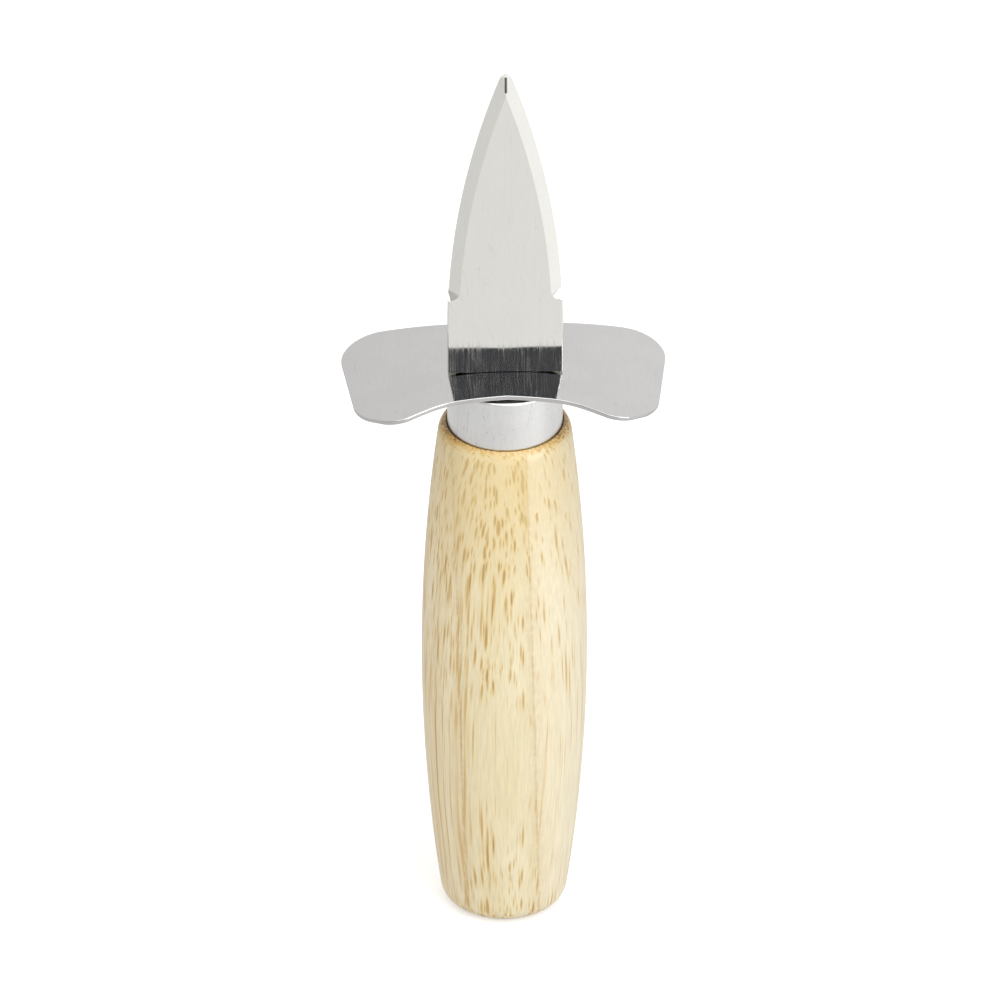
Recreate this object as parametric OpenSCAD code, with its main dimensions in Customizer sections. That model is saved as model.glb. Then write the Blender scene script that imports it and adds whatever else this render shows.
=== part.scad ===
// Oyster knife: a blunt two-edged blade, a bent sheet guard, a drawn ferrule and a turned hardwood handle.
// It stands upright on its butt. The axis of the handle is Z, and the flats of the blade face -Y and +Y.

/* [Handle] */
// Height of the turned barrel, from the butt to the top of its shoulder
handle_h = 96.5; // [84:0.5:120]
// Diameter at the belly, the widest place
belly_d = 28; // [26:0.5:34]
// Height of the belly above the butt
belly_z = 50.5; // [38:0.5:62]
// Diameter at the butt, before its edge is rounded
butt_d = 20.6; // [17:0.2:25]
// Radius that rounds the edge of the butt
butt_round = 3.4; // [1:0.1:5]
// How far the wood stands out past the ferrule at the shoulder, before its edge is rounded
shoulder_proud = 1.25; // [0.8:0.05:2]
// Radius that rounds the shoulder
shoulder_round = 4; // [2:0.1:5]
// Depth of the turned seat for the rim of the ferrule, below the top of the barrel
seat_drop = 1.3; // [1:0.1:2]
// Width of the middle strip of the glued-up blank
strip_w = 12.5; // [8:0.5:16]
// How far the middle strip is off the axis at the belly
strip_shift = -1.8; // [-3:0.1:3]
// Lean of the glue joints away from the axis, in degrees
strip_lean = 1.5; // [0:0.1:2]

/* [Ferrule] */
// Outside diameter of the drawn cup
ferrule_d = 19.5; // [16:0.1:24]
// Height of the cup from its rim to its slotted end
ferrule_h = 10; // [7:0.5:14]
// Thickness of the metal
ferrule_wall = 0.6; // [0.4:0.05:1]
// Outside radius of the drawn corner
ferrule_round = 0.9; // [0.7:0.05:2]

/* [Guard] */
// Thickness of the sheet
guard_t = 0.8; // [0.6:0.05:1.5]
// Radius to which the upper face is bent
bend_r = 100; // [70:1:200]
// Width across the back corners, before they are rounded
back_w = 56.6; // [48:0.2:70]
// Distance of the back corners behind the axis
back_y = 15.5; // [14:0.1:20]
// Distance of the middle of the back edge behind the axis
back_waist_y = 13.6; // [11:0.1:16]
// Radius of the back corners
back_round = 6.9; // [3:0.1:8]
// Width across the ends at their front corners
end_w = 51; // [46:0.2:64]
// Distance of the front corners of the ends before the axis
end_y = 9.4; // [7:0.1:11]
// Radius of the front corners of the ends
end_round = 6.8; // [3:0.1:8]
// Distance between the two front lobes
lobe_w = 38; // [34:0.2:44]
// Distance of the front lobes before the axis, before they are rounded
lobe_y = 14; // [12:0.1:17]
// Radius of the front lobes
lobe_round = 4.4; // [3:0.1:5]
// Width of the waist between the lobes
waist_w = 21.1; // [16:0.1:25]
// Distance of the corners of the waist before the axis
waist_y = 9.95; // [8:0.05:11.5]
// Radius that blends the waist into the lobes
waist_round = 15; // [8:0.5:16]
// Distance of the middle of the waist before the axis
waist_mid_y = 8.95; // [8:0.05:10]

/* [Blade] */
// Thickness of the steel
blade_t = 3; // [2:0.1:4]
// Width at the shoulders
blade_w = 19.5; // [15:0.1:25]
// Length from the shoulders to the point
blade_len = 58.5; // [46:0.5:75]
// Radius of the two curved edges
edge_r = 145; // [110:1:180]
// Radius that blunts the point
tip_round = 1.2; // [0.6:0.1:2]
// Width of each ground bevel, across the face of the blade
bevel_w = 1.75; // [1.2:0.05:3]
// Thickness left at the blunt edge
edge_land = 0.4; // [0.2:0.05:0.8]
// How much the grinding takes off the outline
grind_inset = 0.15; // [0.05:0.05:0.4]
// Height above the shoulders at which the bevels run out
plunge_h = 16.2; // [10:0.1:22]

/* [Tang] */
// Width of the tang
tang_w = 8; // [6:0.1:10]
// Length of the tang below the shoulders
tang_len = 52; // [40:0.5:62]
// Width at the end of the tang
tang_end_w = 5; // [3:0.1:5.8]
// Length over which the end of the tang narrows
tang_taper = 12; // [6:0.5:18]
// Number of pairs of glue notches
notch_count = 3; // [1:1:3]
// Radius of a glue notch
notch_r = 0.9; // [0.5:0.1:1.3]
// Distance between notches
notch_pitch = 8; // [4:0.5:8]

/* [Fits] */
// Gap between pieces that bear on each other
seat_gap = 0.05; // [0.02:0.01:0.1]
// Gap on each side of the tang in the slots of the guard and the ferrule
slot_gap = 0.15; // [0.05:0.05:0.3]
// Gap between the ferrule and the tenon in it
tenon_gap = 0.05; // [0.02:0.01:0.1]
// Chamfer that leads the tenon into the ferrule
tenon_chamfer = 0.4; // [0.1:0.1:1]
// Gap between the top of the tenon and the end of the ferrule
tenon_top_gap = 0.3; // [0.1:0.1:0.6]
// Dark gap that shows between the ferrule and the edge of its seat
rim_gap = 0.2; // [0.1:0.05:0.4]
// Gap between the corners of the tang and the bore
bore_gap = 0.1; // [0.05:0.05:0.3]
// Depth of the bore past the end of the tang
bore_extra = 2; // [1:0.5:4]
// Point angle of the drill that makes the bore
drill_angle = 118; // [90:1:140]
// Width of the flat that the drill leaves at its point
drill_flat = 0.8; // [0.4:0.1:1.5]

/* [Hidden] */
$fn = 180;
big_fn = 720;
arc_steps = 12;
clear = 1;
// How far the arc of a rounded edge is drawn out, so that it cuts the flank and doesn't only touch it
crossing = 0.05;

ferrule_r = ferrule_d / 2;
belly_r = belly_d / 2;
tenon_r = ferrule_r - ferrule_wall - tenon_gap;
seat_z = handle_h - seat_drop;
ferrule_z = seat_z + seat_gap;
ferrule_top = ferrule_z + ferrule_h;
tenon_top = ferrule_top - ferrule_wall - tenon_top_gap;

// The inner face of the bend bears on the ferrule where its drawn corner begins
under_r = bend_r - guard_t;
bearing_x = ferrule_r - ferrule_round;
bend_z = ferrule_top + seat_gap - sqrt(under_r * under_r - bearing_x * bearing_x);

// The shoulders of the blade bear on the outer face of the bend at the ends of the slot
slot_x = tang_w / 2 + slot_gap;
slot_y = blade_t / 2 + slot_gap;
shoulder_z = bend_z + sqrt(bend_r * bend_r - slot_x * slot_x) + seat_gap;
tip_z = shoulder_z + blade_len;

// The curved edges leave the parallel sides at this height, so that they meet the blunt point
edge_x = edge_r - blade_w / 2;
edge_z = tip_z - tip_round - sqrt((edge_r - tip_round) * (edge_r - tip_round) - edge_x * edge_x);
ground_r = edge_r - grind_inset;
bevel_slope = bevel_w / (blade_t / 2 - edge_land / 2);
plunge_z = shoulder_z + plunge_h;
// The round run-out starts where the inner line of the bevel is at that height
bevel_r = ground_r - bevel_w;
bevel_x = sqrt(bevel_r * bevel_r - (plunge_z - edge_z) * (plunge_z - edge_z)) - edge_x;
plunge_r = blade_w / 2 - bevel_x;

bore_r = norm([tang_w, blade_t]) / 2 + bore_gap;
bore_z = shoulder_z - tang_len - bore_extra;
drill_h = (bore_r - drill_flat / 2) / tan(drill_angle / 2);

steel = "gainsboro";
polished = "silver";
satin = "lightgray";
wood = "burlywood";
pale_wood = "wheat";
resin = "khaki";

// Radius of the circle through the belly, upright there, and a point that is rise away and drop narrower
function flank_radius(rise, drop) = (rise * rise + drop * drop) / (2 * drop);

// Points of the arc that rounds corner p, between its neighbours a and b, to radius r
function rounded(a, p, b, r) =
    let (u = (a - p) / norm(a - p))
    let (v = (b - p) / norm(b - p))
    let (half = acos(u * v) / 2)
    let (middle = p + (u + v) / norm(u + v) * r / sin(half))
    let (from = p + u * r / tan(half) - middle)
    let (to = p + v * r / tan(half) - middle)
    let (start = atan2(from[1], from[0]))
    let (turn = atan2(cross(from, to), from * to))
    [for (i = [0:arc_steps]) let (way = start + turn * i / arc_steps) middle + r * [cos(way), sin(way)]];

function mirrored(points) = [for (i = [len(points) - 1:-1:0]) [-points[i][0], points[i][1]]];

// Half of the handle's outline on one side of the belly: a flank arc and a rounded edge at height end_z
module half_barrel(end_z, end_r, edge_round) {
    way = sign(end_z - belly_z);
    rise = abs(end_z - belly_z);
    flank = flank_radius(rise, belly_r - end_r);
    middle_x = belly_r - flank;
    round_rise = rise - edge_round;
    round_x = middle_x + sqrt((flank - edge_round) * (flank - edge_round) - round_rise * round_rise);
    tangent_rise = round_rise * flank / (flank - edge_round);
    translate([0, belly_z]) scale([1, way]) union() {
        square([round_x, rise]);
        intersection() {
            translate([middle_x, 0]) circle(flank, $fn = big_fn);
            square([belly_r + clear, tangent_rise]);
        }
        intersection() {
            translate([middle_x, 0]) circle(flank, $fn = big_fn);
            translate([round_x + crossing, round_rise]) circle(edge_round);
        }
    }
}

module handle_profile() {
    half_barrel(0, butt_d / 2, butt_round);
    half_barrel(handle_h, ferrule_r + shoulder_proud, shoulder_round);
}

// Drilled bore with its point, drawn in by a gap; it reaches past the top of the tenon by the extra height
module bore(gap, extra) {
    top = tenon_top - bore_z + extra;
    r = bore_r - gap;
    translate([0, 0, bore_z]) rotate_extrude()
        polygon([[0, -drill_h], [drill_flat / 2, -drill_h], [r, 0], [r, top], [0, top]]);
}

// The turned and bored handle, before it is parted along its glue joints
module turned_handle() {
    difference() {
        union() {
            difference() {
                rotate_extrude() intersection() {
                    handle_profile();
                    square([belly_r + clear, handle_h + clear]);
                }
                translate([0, 0, seat_z]) cylinder(h = handle_h, r = ferrule_r + rim_gap);
            }
            translate([0, 0, belly_z]) cylinder(h = tenon_top - tenon_chamfer - belly_z, r = tenon_r);
            translate([0, 0, tenon_top - tenon_chamfer])
                cylinder(h = tenon_chamfer, r1 = tenon_r, r2 = tenon_r - tenon_chamfer);
        }
        bore(0, clear);
    }
}

// Space between two planes across X that lean with the glue joints
module between_joints(from_x, to_x) {
    translate([strip_shift, 0, belly_z]) rotate([0, -strip_lean, 0])
        translate([from_x, -belly_d, -handle_h]) cube([to_x - from_x, 2 * belly_d, 2 * handle_h]);
}

module handle_middle() {
    color(pale_wood) intersection() {
        turned_handle();
        between_joints(-strip_w / 2, strip_w / 2);
    }
}

module handle_left() {
    color(wood) intersection() {
        turned_handle();
        between_joints(-belly_d, -strip_w / 2);
    }
}

module handle_right() {
    color(wood) intersection() {
        turned_handle();
        between_joints(strip_w / 2, belly_d);
    }
}

module slot(height) {
    translate([-slot_x, -slot_y, shoulder_z - height]) cube([2 * slot_x, 2 * slot_y, height + clear]);
}

// Section of a cup of radius r and height h, with its end corner rounded
module cup_section(r, h, corner) {
    square([r, h - corner]);
    square([r - corner, h]);
    translate([r - corner, h - corner]) intersection() {
        circle(corner);
        square(corner);
    }
}

module ferrule() {
    inner_h = ferrule_h - ferrule_wall + clear;
    color(satin) difference() {
        translate([0, 0, ferrule_z]) rotate_extrude() difference() {
            cup_section(ferrule_r, ferrule_h, ferrule_round);
            translate([0, -clear])
                cup_section(ferrule_r - ferrule_wall, inner_h, ferrule_round - ferrule_wall);
        }
        slot(tang_len / 2);
    }
}

// Outline of the blank of the guard, seen along the axis of the knife
module guard_outline() {
    back_mid = [0, back_waist_y];
    back = [back_w / 2, back_y];
    end = [end_w / 2, -end_y];
    lobe = [lobe_w / 2, -lobe_y];
    waist = [waist_w / 2, -waist_y];
    waist_mid = [0, -waist_mid_y];
    right = concat(
        rounded(back_mid, back, end, back_round),
        rounded(back, end, lobe, end_round),
        rounded(end, lobe, waist, lobe_round),
        rounded(lobe, waist, waist_mid, waist_round)
    );
    polygon(concat([back_mid], right, [waist_mid], mirrored(right)));
}

module guard() {
    color(polished) difference() {
        intersection() {
            translate([0, 0, bend_z]) linear_extrude(bend_r + clear) guard_outline();
            translate([0, back_w, bend_z]) rotate([90, 0, 0]) difference() {
                cylinder(h = 2 * back_w, r = bend_r, $fn = big_fn);
                translate([0, 0, -clear]) cylinder(h = 2 * back_w + 2 * clear, r = under_r, $fn = big_fn);
            }
        }
        slot(tang_len / 2);
    }
}

// Front view of the blade above its shoulders: parallel sides, two arcs and a blunt point
module blade_outline() {
    point_z = tip_z - tip_round + (tip_z - tip_round - edge_z) * tip_round / (edge_r - tip_round);
    union() {
        translate([-blade_w / 2, shoulder_z]) square([blade_w, max(edge_z - shoulder_z, 0)]);
        intersection() {
            translate([-edge_x, edge_z]) circle(edge_r, $fn = big_fn);
            translate([edge_x, edge_z]) circle(edge_r, $fn = big_fn);
            translate([-blade_w, shoulder_z]) square([2 * blade_w, point_z - shoulder_z]);
        }
        translate([0, tip_z - tip_round]) circle(tip_round);
    }
}

// Front view of the tang, grown by a gap: straight, then narrowing, with pairs of notches that key the glue
module tang_outline(gap) {
    taper_z = shoulder_z - tang_len + tang_taper;
    top = shoulder_z + clear;
    end = shoulder_z - tang_len - gap;
    half = tang_w / 2 + gap;
    end_half = tang_end_w / 2 + gap;
    difference() {
        polygon([
            [-half, top], [-half, taper_z], [-end_half, end],
            [end_half, end], [half, taper_z], [half, top]
        ]);
        for (i = [1:notch_count], side = [-1, 1])
            translate([side * half, taper_z + (i - 0.5) * notch_pitch]) circle(notch_r);
    }
}

module upright(thickness) {
    rotate([90, 0, 0]) linear_extrude(thickness, center = true) children();
}

// What the grinder leaves on one side: a wide disc about the centre of that edge, bevelled on both faces
module ground_disc(side) {
    half = blade_t / 2 + clear;
    outer_r = ground_r - (half - edge_land / 2) * bevel_slope;
    translate([-side * edge_x, 0, edge_z]) rotate([90, 0, 0]) rotate_extrude($fn = big_fn)
        polygon([
            [0, -half], [outer_r, -half], [ground_r, -edge_land / 2],
            [ground_r, edge_land / 2], [outer_r, half], [0, half]
        ]);
}

// The part of the blade that the grinder doesn't reach: all below the plunge, but for its round run-out
module unground() {
    difference() {
        translate([-blade_w, -blade_t, shoulder_z]) cube([2 * blade_w, 2 * blade_t, plunge_h]);
        for (side = [-1, 1], face = [-1, 1])
            translate([side * blade_w / 2, 0, plunge_z]) rotate([face * 90, 0, 0])
                cylinder(h = blade_t / 2, r1 = plunge_r / 2, r2 = plunge_r);
    }
}

module blade() {
    color(steel) union() {
        intersection() {
            upright(blade_t) blade_outline();
            union() {
                unground();
                intersection() {
                    ground_disc(-1);
                    ground_disc(1);
                }
            }
        }
        upright(blade_t) tang_outline(0);
    }
}

// Hardened glue that fills the bore around the tang
module tang_bond() {
    color(resin) difference() {
        bore(seat_gap, 0);
        upright(blade_t + 2 * seat_gap) tang_outline(seat_gap);
    }
}

blade();
guard();
ferrule();
handle_middle();
handle_left();
handle_right();
tang_bond();
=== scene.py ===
import math

import bpy
from mathutils import Matrix, Vector


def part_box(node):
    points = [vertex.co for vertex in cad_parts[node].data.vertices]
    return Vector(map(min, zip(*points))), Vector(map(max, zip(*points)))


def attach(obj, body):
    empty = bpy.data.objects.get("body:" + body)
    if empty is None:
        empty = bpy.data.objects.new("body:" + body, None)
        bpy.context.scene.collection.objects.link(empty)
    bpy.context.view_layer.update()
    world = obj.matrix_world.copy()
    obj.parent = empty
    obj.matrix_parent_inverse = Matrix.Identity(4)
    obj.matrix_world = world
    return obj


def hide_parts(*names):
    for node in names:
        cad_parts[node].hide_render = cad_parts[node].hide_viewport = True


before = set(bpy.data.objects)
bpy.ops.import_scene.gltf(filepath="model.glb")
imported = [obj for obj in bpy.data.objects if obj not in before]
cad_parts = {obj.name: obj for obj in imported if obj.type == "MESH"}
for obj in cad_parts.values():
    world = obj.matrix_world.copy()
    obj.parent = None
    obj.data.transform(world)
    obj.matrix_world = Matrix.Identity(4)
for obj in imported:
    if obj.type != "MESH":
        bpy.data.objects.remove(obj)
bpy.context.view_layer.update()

# The turned handle. Three strips of a pale, open-pored hardwood are glued face to face,
# turned to a barrel, bored for the tang, and given a clear satin lacquer. A turned seat and a
# tenon at the top take the ferrule. The middle strip is the widest at the front.
mm = 0.001
handle_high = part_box("handle_middle")[1]
ferrule_low, ferrule_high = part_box("ferrule")
bond_low, bond_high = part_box("tang_bond")
handle_sides = 240
flank_steps = 26
clearance = 0.05 * mm
belly_r = handle_high.y
belly_z = 50.5 * mm
butt_r = 10.3 * mm
butt_round = 3.4 * mm
shoulder_r = ferrule_high.x + 1.25 * mm
shoulder_z = 96.5 * mm
shoulder_round = 3.1 * mm
seat_z = ferrule_low.z - clearance
seat_r = ferrule_high.x + 0.2 * mm
tenon_r = ferrule_high.x - 0.65 * mm
tenon_chamfer = 0.4 * mm
rim_step = 0.08 * mm
rim_drop = 0.04 * mm
bore_r = bond_high.x + clearance
drill_flat_r = 0.4 * mm
drill_half_angle = math.radians(59)
drill_h = (bore_r - drill_flat_r) / math.tan(drill_half_angle)
bore_z = bond_low.z + drill_h


def half_barrel(end_z, end_r, rounding, last_r, steps):
    """Rings (radius, height) from the belly to one end: a long flank arc, then the rounded edge.

    The edge ends at the radius last_r."""
    way = 1 if end_z > belly_z else -1
    rise = abs(end_z - belly_z)
    drop = belly_r - end_r
    flank = (rise * rise + drop * drop) / (2 * drop)
    middle = belly_r - flank
    turn_rise = rise - rounding
    turn_r = middle + math.sqrt((flank - rounding) ** 2 - turn_rise ** 2)
    tangent = math.atan2(turn_rise, turn_r - middle)
    last = math.acos((last_r - turn_r) / rounding) if last_r > turn_r else math.pi / 2
    rings = []
    for i in range(1, steps + 1):
        angle = tangent * i / steps
        rings.append((middle + flank * math.cos(angle), belly_z + way * flank * math.sin(angle)))
    corner_steps = 12
    for i in range(1, corner_steps + 1):
        angle = tangent + (last - tangent) * i / corner_steps
        height = turn_rise + rounding * math.sin(angle)
        rings.append((turn_r + rounding * math.cos(angle), belly_z + way * height))
    return rings


def pick(piece):
    """Selects a piece alone and makes it the active one."""
    bpy.ops.object.select_all(action="DESELECT")
    piece.select_set(True)
    bpy.context.view_layer.objects.active = piece


def turn(name, rings, sides):
    """A closed turned solid: one ring, extruded and resized from each (radius, height) to the next."""
    bpy.ops.object.select_all(action="DESELECT")
    radius, height = rings[0]
    bpy.ops.mesh.primitive_circle_add(vertices=sides, radius=radius, location=(0, 0, height))
    piece = bpy.context.object
    piece.name = name
    piece.data.name = name
    bpy.ops.object.transform_apply(location=True, rotation=True, scale=True)
    bpy.ops.object.mode_set(mode="EDIT")
    bpy.ops.mesh.select_mode(type="EDGE")
    bpy.ops.mesh.select_all(action="SELECT")
    for next_radius, next_height in rings[1:]:
        bpy.ops.mesh.extrude_region_move(TRANSFORM_OT_translate={"value": (0, 0, next_height - height)})
        size = next_radius / radius
        bpy.ops.transform.resize(value=(size, size, 1), center_override=(0, 0, next_height))
        radius, height = next_radius, next_height
    bpy.ops.mesh.edge_face_add()
    bpy.ops.mesh.select_all(action="DESELECT")
    bpy.ops.mesh.select_non_manifold()
    bpy.ops.mesh.edge_face_add()
    bpy.ops.mesh.select_all(action="SELECT")
    bpy.ops.mesh.normals_make_consistent(inside=False)
    bpy.ops.object.mode_set(mode="OBJECT")
    return piece


def copy_of(piece, name):
    """A copy with its own mesh, selected alone."""
    pick(piece)
    bpy.ops.object.duplicate()
    twin = bpy.context.object
    twin.name = name
    twin.data.name = name
    return twin


def part_at(piece, point, normal, keep_front):
    """Cuts a solid at a plane, throws one side away and closes the cut."""
    pick(piece)
    bpy.ops.object.mode_set(mode="EDIT")
    bpy.ops.mesh.select_all(action="SELECT")
    bpy.ops.mesh.bisect(
        plane_co=point, plane_no=normal, use_fill=True,
        clear_inner=keep_front, clear_outer=not keep_front, threshold=1e-7,
    )
    bpy.ops.object.mode_set(mode="OBJECT")


def shade(piece, degrees):
    """Smooth shading, with edges sharper than the angle kept."""
    pick(piece)
    bpy.ops.object.shade_smooth_by_angle(angle=math.radians(degrees))


def settle(piece, node, material):
    """The finished piece takes its material, stands for its CAD node and moves with the knife's one body."""
    piece.data.materials.clear()
    piece.data.materials.append(material)
    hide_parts(node)
    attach(piece, "root")


lower = half_barrel(0, butt_r, butt_round, 0, flank_steps)
upper = half_barrel(shoulder_z, shoulder_r, shoulder_round, seat_r + rim_step, flank_steps)
rim_z = upper[-1][1]
blank_rings = lower[::-1] + [(belly_r, belly_z)] + upper + [
    (seat_r, rim_z - rim_drop),
    (seat_r, seat_z),
    (tenon_r, seat_z),
    (tenon_r, handle_high.z - tenon_chamfer),
    (tenon_r - tenon_chamfer, handle_high.z),
    (bore_r, handle_high.z),
    (bore_r, bore_z),
    (drill_flat_r, bore_z - drill_h),
]
blank = turn("blank", blank_rings, handle_sides)

strip_w = 12.5 * mm
strip_shift = -1.8 * mm
strip_lean = math.radians(1.5)
joint_normal = Vector((math.cos(strip_lean), 0, math.sin(strip_lean)))
strip_middle = Vector((strip_shift, 0, belly_z))
left_joint = strip_middle - joint_normal * strip_w / 2
right_joint = strip_middle + joint_normal * strip_w / 2

handle_left = copy_of(blank, "handle_left_turned")
part_at(handle_left, left_joint, joint_normal, keep_front=False)
handle_middle = copy_of(blank, "handle_middle_turned")
part_at(handle_middle, left_joint, joint_normal, keep_front=True)
part_at(handle_middle, right_joint, joint_normal, keep_front=False)
handle_right = copy_of(blank, "handle_right_turned")
part_at(handle_right, right_joint, joint_normal, keep_front=True)
bpy.data.objects.remove(blank)


def node(tree, kind, inputs=None, **settings):
    """Adds a node. A value in inputs is a socket to link from, or the number or colour to set."""
    made = tree.nodes.new(kind)
    for key, value in settings.items():
        setattr(made, key, value)
    for key, value in (inputs or {}).items():
        if isinstance(value, bpy.types.NodeSocket):
            tree.links.new(value, made.inputs[key])
        else:
            made.inputs[key].default_value = value
    return made


def math_node(tree, operation, first, second=0.0, third=0.0):
    return node(tree, "ShaderNodeMath", {0: first, 1: second, 2: third}, operation=operation).outputs[0]


def vector_node(tree, operation, first, second=(0, 0, 0)):
    return node(tree, "ShaderNodeVectorMath", {0: first, 1: second}, operation=operation).outputs[0]


def ramp(tree, value, low, high, to_low=0.0, to_high=1.0):
    """value turned smoothly from low..high to to_low..to_high."""
    inputs = {"Value": value, "From Min": low, "From Max": high, "To Min": to_low, "To Max": to_high}
    return node(tree, "ShaderNodeMapRange", inputs, interpolation_type="SMOOTHSTEP").outputs[0]


def blend_colour(tree, factor, first, second, mode="MIX"):
    inputs = {0: factor, 6: first, 7: second}
    return node(tree, "ShaderNodeMix", inputs, data_type="RGBA", blend_type=mode).outputs[2]


def noise(tree, place, scale, detail):
    """The grey value of a noise."""
    return node(tree, "ShaderNodeTexNoise", {"Vector": place, "Scale": scale, "Detail": detail}).outputs[0]


def largest(tree, values):
    """The greatest of several values."""
    most = values[0]
    for value in values[1:]:
        most = math_node(tree, "MAXIMUM", most, value)
    return most


def new_group(name, ins, outs):
    """A node group with named inputs, each with its default, and named outputs."""
    group = bpy.data.node_groups.new(name, "ShaderNodeTree")
    for label, (kind, default) in ins.items():
        socket = group.interface.new_socket(label, in_out="INPUT", socket_type=kind)
        socket.default_value = default
    for label, kind in outs.items():
        group.interface.new_socket(label, in_out="OUTPUT", socket_type=kind)
    return group, node(group, "NodeGroupInput").outputs, node(group, "NodeGroupOutput").inputs


def new_material(name):
    """A material with its tree, its surface shader and the place on the piece in millimetres."""
    material = bpy.data.materials.new(name)
    material.use_nodes = True
    material.node_tree.nodes.clear()
    tree = material.node_tree
    out = node(tree, "ShaderNodeOutputMaterial")
    surface = node(tree, "ShaderNodeBsdfPrincipled")
    tree.links.new(surface.outputs[0], out.inputs["Surface"])
    place = node(tree, "ShaderNodeTexCoord").outputs["Object"]
    in_mm = node(tree, "ShaderNodeMapping", {"Vector": place, "Scale": (1000, 1000, 1000)}).outputs[0]
    return material, tree, surface, in_mm


# The wood is diffuse-porous. Its vessels are long tubes that run nearly along the handle and lean
# a little outwards at the top, so the turned surface cuts them into short dashes where it slopes, and
# into long streaks where it runs along them.
wood_group, wood_in, wood_out = new_group(
    "open_pored_wood",
    {
        "Vector": ("NodeSocketVector", (0, 0, 0)),
        "Board": ("NodeSocketVector", (0, 0, 0)),
        "Lean": ("NodeSocketVector", (0, 0.05, 0)),
        "Pale": ("NodeSocketColor", (0.83, 0.72, 0.48, 1)),
        "Warm": ("NodeSocketColor", (0.78, 0.65, 0.40, 1)),
        "Gold": ("NodeSocketColor", (0.64, 0.43, 0.14, 1)),
        "Vessel": ("NodeSocketColor", (0.42, 0.2, 0.045, 1)),
        "Plenty": ("NodeSocketFloat", 0.6),
    },
    {"Color": "NodeSocketColor", "Height": "NodeSocketFloat", "Roughness": "NodeSocketFloat"},
)
flat_noise = node(wood_group, "ShaderNodeTexNoise", {
    "Vector": vector_node(wood_group, "MULTIPLY", wood_in["Vector"], (1, 1, 0.3)),
    "Scale": 0.11, "Detail": 1.0,
})
wander = vector_node(wood_group, "SUBTRACT", flat_noise.outputs["Color"], (0.5, 0.5, 0.5))
wander_mm = 1.6
wander = vector_node(wood_group, "MULTIPLY", wander, (wander_mm, wander_mm, 0))
wandered = vector_node(wood_group, "ADD", wood_in["Vector"], wander)
height_mm = node(wood_group, "ShaderNodeSeparateXYZ", {"Vector": wandered}).outputs["Z"]
leaned = node(wood_group, "ShaderNodeVectorMath", {0: wood_in["Lean"], "Scale": height_mm}, operation="SCALE")
upright = vector_node(wood_group, "MULTIPLY", wandered, (1, 1, 0))
upright = vector_node(wood_group, "ADD", upright, leaned.outputs[0])
across = node(wood_group, "ShaderNodeSeparateXYZ", {"Vector": upright}).outputs["Y"]
end_grain = vector_node(wood_group, "ADD", upright, wood_in["Board"])
slow_height = math_node(wood_group, "MULTIPLY", height_mm, 0.05)
along = node(wood_group, "ShaderNodeCombineXYZ", {"Z": slow_height}).outputs[0]
cluster = noise(wood_group, end_grain, 0.34, 1.0)
crowd = math_node(wood_group, "MULTIPLY", ramp(wood_group, cluster, 0.3, 0.52), wood_in["Plenty"])
# The outermost layer, which shows in front below the belly, has few vessels.
layer = math_node(wood_group, "MULTIPLY_ADD", cluster, 1.4, across)
crowd = math_node(wood_group, "MULTIPLY", ramp(wood_group, layer, -11.1, -10.2, 0.25, 1), crowd)
few = math_node(wood_group, "SUBTRACT", 1.0, crowd)
grown = ramp(wood_group, layer, -10.4, -8.0, 0.9, 1.4)
darker = ramp(wood_group, height_mm, 52, 92, 0.85, 2.2)
# Neighbouring vessels touch in short rows across X, so each mark is wider than it is deep.
row_squeeze = 0.65
rows = vector_node(wood_group, "MULTIPLY", end_grain, (row_squeeze, 1, 1))
cores, halos = [], []
for spacing, radius, strength in ((1.5, 0.09, 0.85), (2.1, 0.06, 0.65), (0.95, 0.11, 0.95)):
    pores = node(
        wood_group, "ShaderNodeTexVoronoi", {"Vector": rows, "Scale": spacing}, voronoi_dimensions="2D",
    )
    chance = node(wood_group, "ShaderNodeSeparateColor", {"Color": pores.outputs["Color"]}).outputs
    widened = math_node(wood_group, "MULTIPLY", grown, spacing)
    reach = math_node(wood_group, "DIVIDE", pores.outputs["Distance"], widened)
    size = math_node(wood_group, "MULTIPLY_ADD", chance["Red"], radius, radius * 0.5)
    past = math_node(wood_group, "SUBTRACT", reach, size)
    shown = ramp(wood_group, math_node(wood_group, "SUBTRACT", chance["Green"], few), -0.05, 0.05)
    deep = math_node(wood_group, "MULTIPLY_ADD", chance["Blue"], 0.7 * strength, 0.3 * strength)
    deep = math_node(wood_group, "MULTIPLY", deep, darker)
    shown_deep = math_node(wood_group, "MULTIPLY", shown, deep)
    cores.append(math_node(wood_group, "MULTIPLY", ramp(wood_group, past, -0.07, 0.02, 1, 0), shown_deep))
    halos.append(math_node(wood_group, "MULTIPLY", ramp(wood_group, past, -0.03, 0.1, strength, 0), shown))
vessels = largest(wood_group, cores)
halo = largest(wood_group, halos)
ring_place = vector_node(wood_group, "MULTIPLY", end_grain, (0.12, 0.55, 0))
year_rings = noise(wood_group, ring_place, 1.0, 3.0)
fibre_place = vector_node(wood_group, "ADD", end_grain, along)
fibres = noise(wood_group, fibre_place, 4.2, 3.0)
tone = ramp(wood_group, year_rings, 0.34, 0.66)
wood_colour = blend_colour(wood_group, tone, wood_in["Pale"], wood_in["Warm"])
fibre_shade = ramp(wood_group, fibres, 0.3, 0.7, 0.915, 1.03)
fibre_grey = node(wood_group, "ShaderNodeCombineColor", dict.fromkeys(range(3), fibre_shade)).outputs[0]
wood_colour = blend_colour(wood_group, 1.0, wood_colour, fibre_grey, "MULTIPLY")
golden = math_node(wood_group, "MULTIPLY", halo, 0.8)
wood_colour = blend_colour(wood_group, golden, wood_colour, wood_in["Gold"])
wood_colour = blend_colour(wood_group, vessels, wood_colour, wood_in["Vessel"])
wood_group.links.new(wood_colour, wood_out["Color"])
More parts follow.
